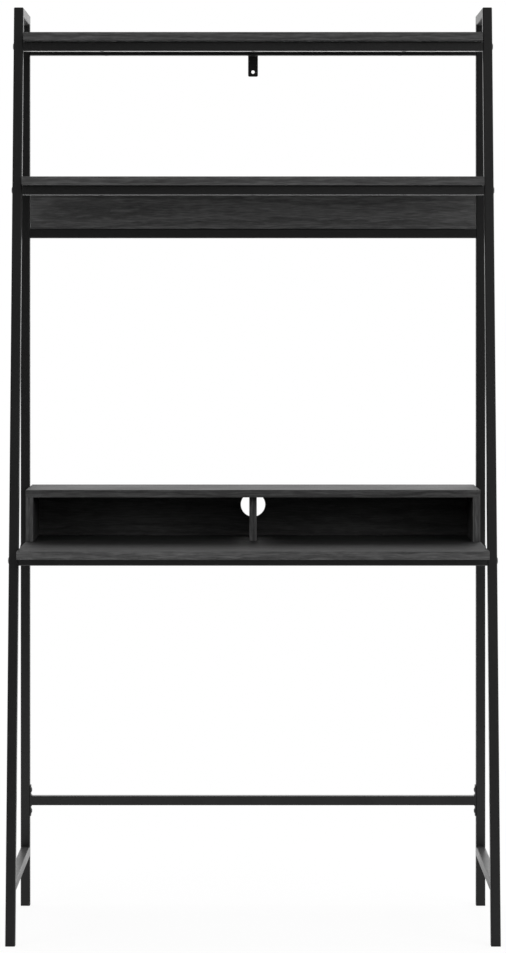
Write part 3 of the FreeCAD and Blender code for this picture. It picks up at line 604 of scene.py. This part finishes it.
def makeFloor():  # mostly plain white where it is seen, and painted near the desk, so that the shadow stays
    bpy.ops.object.select_all(action="DESELECT")
    bpy.ops.mesh.primitive_plane_add(size=stageLook["floorSize"])
    floor = bpy.context.object
    floor.name = "studioFloor"
    material, tree, shader, place = newFinish("paleFloor")
    clouds = noise(tree, place, stageLook["cloudScale"], detail=4.0)
    paint = blendColours(tree, clouds, grey(stageLook["floorGrey"]), grey(stageLook["cloudGrey"]))
    path = addNode(tree, "ShaderNodeLightPath")
    seen = calc(tree, "MAXIMUM", path.outputs["Is Camera Ray"], path.outputs["Is Glossy Ray"])
    seen = calc(tree, "MAXIMUM", seen, path.outputs["Is Transmission Ray"])
    paint = blendColours(tree, seen, grey(stageLook["bounceGrey"]), paint)
    tree.links.new(paint, shader.inputs["Base Color"])
    shader.inputs["Roughness"].default_value = stageLook["rough"]
    shader.inputs["Specular IOR Level"].default_value = stageLook["specular"]
    white = addNode(tree, "ShaderNodeEmission")
    white.inputs["Strength"].default_value = 1.0
    # the coat mirrors a floor whose white is painted dimmer in front of the desk, and painted darker near
    # the desk as its shadow
    parts = addNode(tree, "ShaderNodeSeparateXYZ")
    tree.links.new(place, parts.inputs[0])
    lit = remap(tree, parts.outputs["Y"], stageLook["darkEnd"], stageLook["litEnd"], stageLook["darkGrey"])
    away = addNode(tree, "ShaderNodeVectorMath", operation="LENGTH")
    tree.links.new(place, away.inputs[0])
    distance = away.outputs["Value"]
    shade = remap(tree, distance, stageLook["shadeStart"], stageLook["shadeReach"], stageLook["shadeGrey"])
    lit = calc(tree, "MAXIMUM", calc(tree, "MULTIPLY", lit, shade), path.outputs["Is Camera Ray"])
    tree.links.new(lit, white.inputs["Color"])
    share = remap(tree, distance, stageLook["nearReach"], stageLook["farReach"], stageLook["nearWhite"])
    mixed = addNode(tree, "ShaderNodeMixShader")
    tree.links.new(calc(tree, "MULTIPLY", seen, share), mixed.inputs["Fac"])
    tree.links.new(shader.outputs[0], mixed.inputs[1])
    tree.links.new(white.outputs[0], mixed.inputs[2])
    tree.links.new(mixed.outputs[0], tree.nodes["Material Output"].inputs["Surface"])
    floor.data.materials.append(material)


# the pair is the range of directions, the grey is what that side of the room adds
roomLook = {"roomGrey": 0.1, "behind": (-0.1, 0.45), "behindGrey": 0.86,
            "above": (0.2, 0.9), "aboveGrey": 0.28, "right": (-0.1, 0.12), "rightGrey": 0.38}


def makeStudio():  # white for the camera; for the light, a bright wall behind and a dimmer room in front
    world = bpy.data.worlds.new("studioRoom")
    scene.world = world
    world.use_nodes = True
    tree = world.node_tree
    background = tree.nodes["Background"]
    direction = addNode(tree, "ShaderNodeTexCoord").outputs["Generated"]
    parts = addNode(tree, "ShaderNodeSeparateXYZ")
    tree.links.new(direction, parts.inputs[0])
    behind = remap(tree, parts.outputs["Y"], *roomLook["behind"])
    above = remap(tree, parts.outputs["Z"], *roomLook["above"], 0.0, roomLook["aboveGrey"])
    right = remap(tree, parts.outputs["X"], *roomLook["right"], 0.0, roomLook["rightGrey"])
    level = calc(tree, "MULTIPLY_ADD", behind, roomLook["behindGrey"], roomLook["roomGrey"])
    level = calc(tree, "ADD", calc(tree, "ADD", level, above), right)
    path = addNode(tree, "ShaderNodeLightPath")
    shown = calc(tree, "MAXIMUM", path.outputs["Is Camera Ray"], path.outputs["Is Transmission Ray"])
    tree.links.new(blendColours(tree, shown, level, grey(1.0)), background.inputs["Color"])
    background.inputs["Strength"].default_value = 1.0


softBoxes = {
    "keyRight": {"place": (2.7, -2.9, 1.95), "size": (2.2, 1.1), "watts": 57.0},
    "fillLeft": {"place": (-2.7, -2.9, 1.95), "size": (2.2, 1.1), "watts": 57.0},
    "overhead": {"place": (0.1, 0.2, 4.6), "size": (2.6, 0.3), "watts": 56.0},
}
softBoxAim = (0.0, 0.0, 0.95)


def addSoftBox(name, look):
    lamp = bpy.data.lights.new(name, "AREA")
    lamp.shape = "RECTANGLE"
    lamp.size, lamp.size_y = look["size"]
    lamp.energy = look["watts"]
    holder = bpy.data.objects.new(name, lamp)
    scene.collection.objects.link(holder)
    holder.location = look["place"]
    aim = Vector(softBoxAim) - holder.location
    holder.rotation_euler = aim.to_track_quat("-Z", "Y").to_euler()
    holder.visible_glossy = False  # the coat mirrors the pale room, not the boxes themselves


photoCamera = {"place": (0.0, -6.9405, 1.244), "lens": 132.25, "shift": -0.188, "reach": 200.0}


def addCamera():
    lens = bpy.data.cameras.new("photoCamera")
    lens.lens = photoCamera["lens"]
    lens.shift_y = photoCamera["shift"]
    lens.clip_end = photoCamera["reach"]
    holder = bpy.data.objects.new("photoCamera", lens)
    scene.collection.objects.link(holder)
    holder.location = photoCamera["place"]
    holder.rotation_euler = (math.radians(90), 0.0, 0.0)
    scene.camera = holder


makeFloor()
makeStudio()
for name, look in softBoxes.items():
    addSoftBox(name, look)
addCamera()
print("studio ready")
